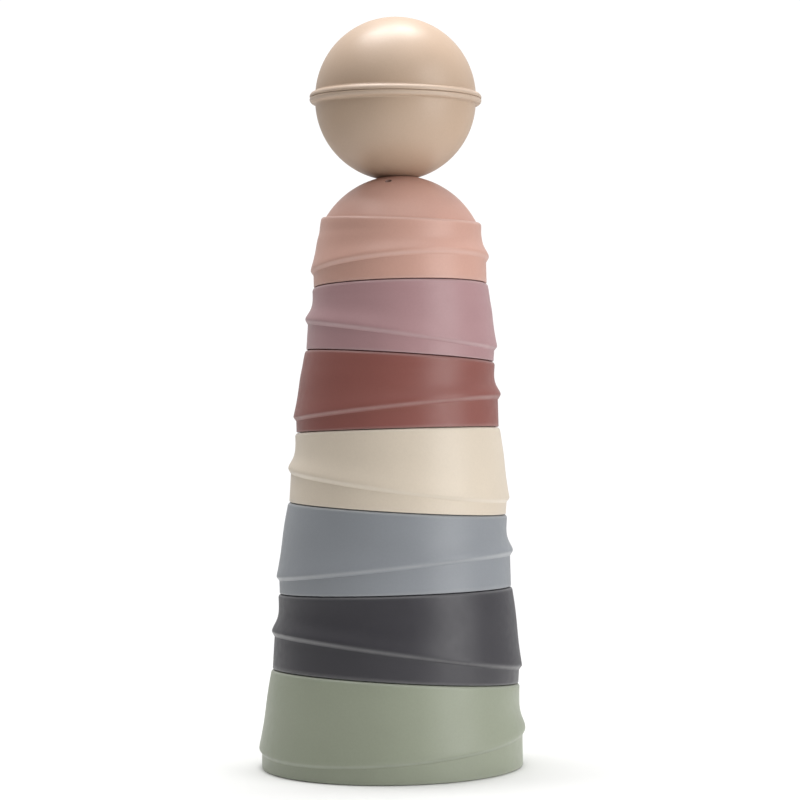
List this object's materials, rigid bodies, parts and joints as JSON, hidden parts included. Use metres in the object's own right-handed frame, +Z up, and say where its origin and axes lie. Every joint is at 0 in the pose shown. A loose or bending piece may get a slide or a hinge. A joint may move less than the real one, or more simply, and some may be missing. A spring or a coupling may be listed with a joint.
{
  "type": "stacking cup tower",
  "caption": "Tower of wedge-shaped cups standing mouth down on one another, each turned to the other side, with a hollow ball resting on the domed top cup.",
  "frame": {"origin": "middle of the tower's box, on the surface that the largest cup's mouth stands on", "axes": "+Z up the tower, +X to the right seen from the front, +Y away from the viewer at the front"},
  "size_m": [0.115, 0.115, 0.323],
  "materials": {
    "sage_plastic": "fine satin moulded texture",
    "graphite_plastic": "fine satin moulded texture",
    "blue_grey_plastic": "fine satin moulded texture",
    "ivory_plastic": "fine satin moulded texture",
    "rust_plastic": "fine satin moulded texture",
    "lilac_plastic": "fine satin moulded texture",
    "rose_plastic": "fine satin moulded texture",
    "sand_plastic": "fine satin moulded texture"
  },
  "bodies": {
    "cup_sage": {"cup_sage": "sage_plastic"},
    "cup_graphite": {"cup_graphite": "graphite_plastic"},
    "cup_blue": {"cup_blue": "blue_grey_plastic"},
    "cup_ivory": {"cup_ivory": "ivory_plastic"},
    "cup_rust": {"cup_rust": "rust_plastic"},
    "cup_lilac": {"cup_lilac": "lilac_plastic"},
    "cup_rose": {"cup_rose": "rose_plastic"},
    "ball_lower_half": {"ball_lower_half": "sand_plastic"},
    "ball_upper_half": {"ball_upper_half": "sand_plastic"}
  },
  "joints": [
    {"name": "lift_graphite", "type": "slide", "parent": "cup_sage", "child": "cup_graphite", "axis": [0.0692, 0.058, 0.9959], "range_m": [0, 0.05]},
    {"name": "lift_blue", "type": "slide", "parent": "cup_graphite", "child": "cup_blue", "axis": [-0.0192, 0.0392, 0.999], "range_m": [0, 0.05]},
    {"name": "lift_ivory", "type": "slide", "parent": "cup_blue", "child": "cup_ivory", "axis": [0.0692, 0.0205, 0.9974], "range_m": [0, 0.05]},
    {"name": "lift_rust", "type": "slide", "parent": "cup_ivory", "child": "cup_rust", "axis": [-0.0157, 0.0513, 0.9986], "range_m": [0, 0.05]},
    {"name": "lift_lilac", "type": "slide", "parent": "cup_rust", "child": "cup_lilac", "axis": [0.0745, 0.0467, 0.9961], "range_m": [0, 0.05]},
    {"name": "lift_rose", "type": "slide", "parent": "cup_lilac", "child": "cup_rose", "axis": [-0.0124, 0.0715, 0.9974], "range_m": [0, 0.05]},
    {"name": "lift_ball", "type": "slide", "parent": "cup_rose", "child": "ball_lower_half", "axis": [-0.0124, 0.0715, 0.9974], "range_m": [0, 0.05]},
    {"name": "open_ball", "type": "slide", "parent": "ball_lower_half", "child": "ball_upper_half", "axis": [0.0192, 0.0349, 0.9992], "range_m": [0, 0.05]}
  ]
}
